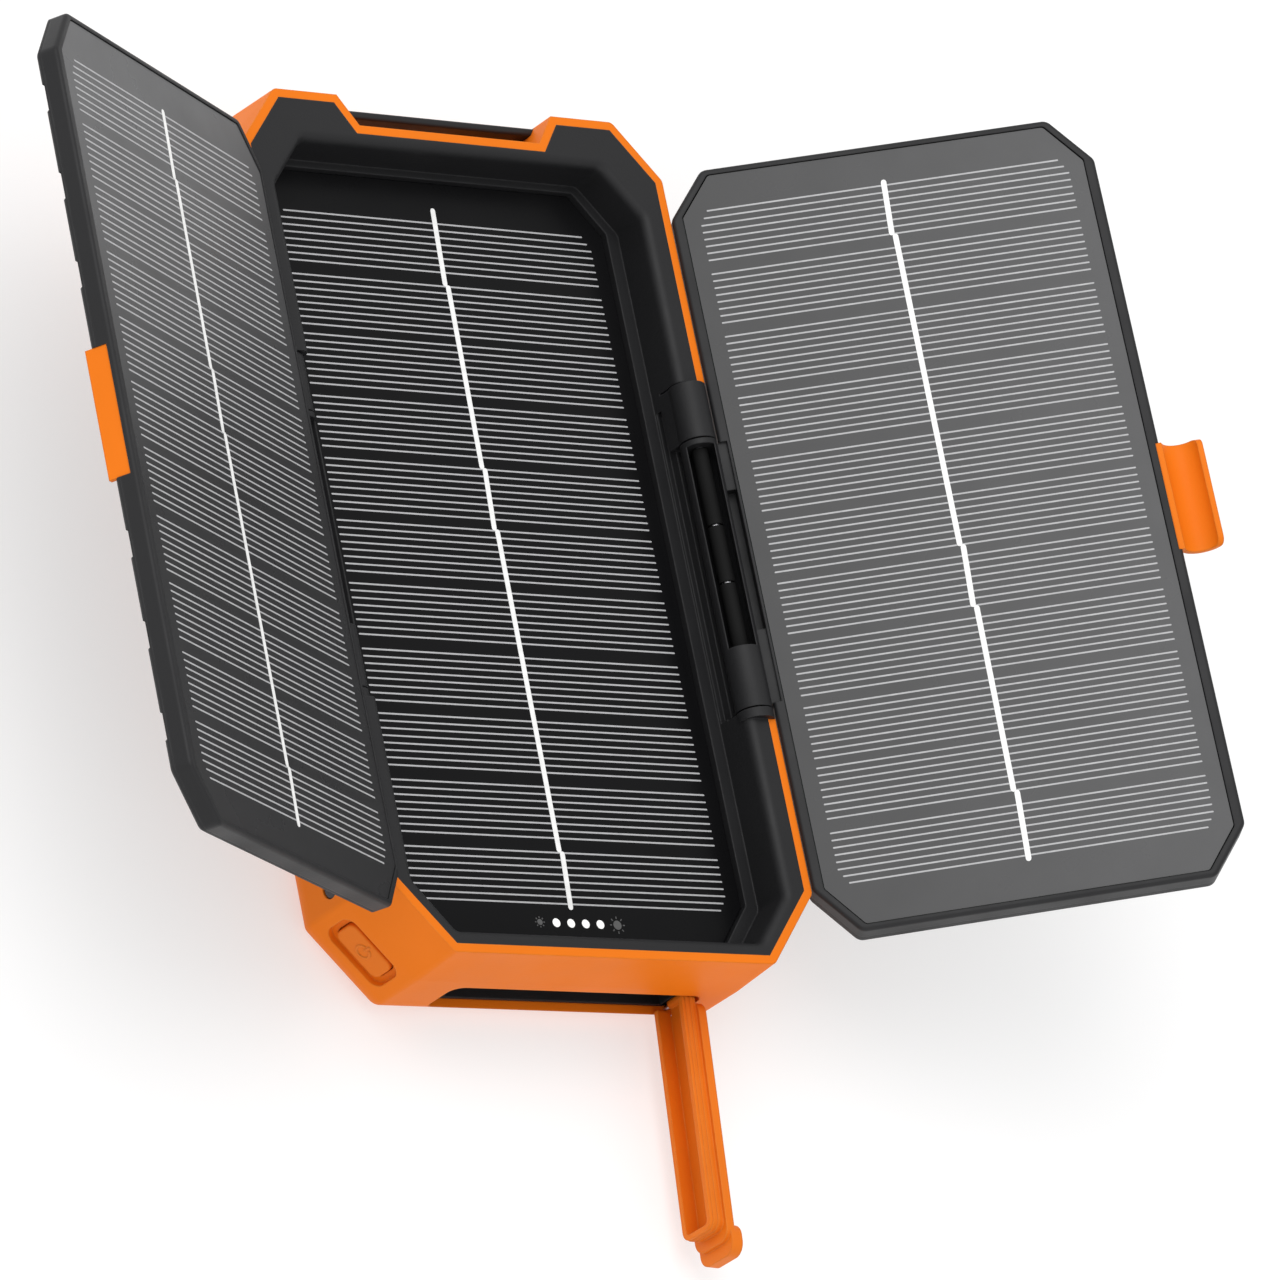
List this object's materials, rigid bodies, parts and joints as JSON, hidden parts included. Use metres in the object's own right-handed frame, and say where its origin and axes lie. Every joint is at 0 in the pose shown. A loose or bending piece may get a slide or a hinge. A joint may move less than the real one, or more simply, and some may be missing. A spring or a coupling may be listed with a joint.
{
  "type": "fold-out solar power bank",
  "caption": "Rugged power bank with a solar panel in its face, two hinged solar wings that fold over it, latches, a port cover and a strap bar.",
  "frame": {"origin": "centre of the flat back face the case lies on", "axes": "+X towards the right wing, +Y towards the strap bar end, +Z out of the middle panel"},
  "size_m": [0.2313, 0.2084, 0.0708],
  "materials": {
    "orange_shell": "fine moulded texture",
    "orange_rubber": "soft satin",
    "black_rubber": "matte",
    "black_frame": "fine moulded texture",
    "black_back": "coarse moulded texture",
    "steel": "plain",
    "board": "solder-masked laminate",
    "port_metal": "stamped",
    "pouch_foil": "satin pouch foil",
    "switch_body": "moulded",
    "lens": "smoked clear",
    "led": "diffused",
    "solar_cell": "silicon under film",
    "panel_film": "clear gloss film"
  },
  "bodies": {
    "right_wing": {"right_wing_tray": "black_frame", "right_wing_back": "black_back", "right_wing_board": "board", "right_wing_cells": "solar_cell", "right_wing_cover": "panel_film", "right_latch": "orange_shell", "right_hinge_clips": "black_frame"},
    "left_wing": {"left_wing_tray": "black_frame", "left_wing_back": "black_back", "left_wing_board": "board", "left_wing_cells": "solar_cell", "left_wing_cover": "panel_film", "left_latch": "orange_shell", "left_hinge_clips": "black_frame"},
    "port_cover": {"port_cover": "orange_rubber"},
    "power_button": {"power_button": "orange_rubber"},
    "case": {"outer_shell": "orange_shell", "case_gasket": "black_rubber", "bay_plate": "black_frame", "top_frame": "black_frame", "strap_bar": "black_frame", "case_screws": "steel", "port_plate": "black_frame", "circuit_board": "board", "usb_a_ports": "port_metal", "usb_c_port": "port_metal", "battery_cells": "pouch_foil", "power_switch": "switch_body", "torch_lens": "lens", "torch_led": "led", "port_cover_anchor": "steel", "centre_panel_board": "board", "centre_panel_cells": "solar_cell", "centre_panel_cover": "panel_film", "charge_leds": "led", "right_hinge_pin": "steel", "left_hinge_pin": "steel"}
  },
  "joints": [
    {"name": "right_wing_hinge", "type": "hinge", "parent": "case", "child": "right_wing", "pos_m": [0.04215, 0, 0.0262], "axis": [0, -1, 0], "range_deg": [-30, 150]},
    {"name": "left_wing_hinge", "type": "hinge", "parent": "case", "child": "left_wing", "pos_m": [-0.04215, 0, 0.0251], "axis": [0, 1, 0], "range_deg": [-30, 150]},
    {"name": "port_cover_hinge", "type": "hinge", "parent": "case", "child": "port_cover", "pos_m": [0.0274, -0.0792, 0.0086], "axis": [0, 0, 1], "range_deg": [-85, 10]},
    {"name": "power_button_press", "type": "slide", "parent": "case", "child": "power_button", "axis": [0.7645, 0.6447, 0], "range_m": [0, 0.0006], "stiffness_N_per_m": 800}
  ]
}
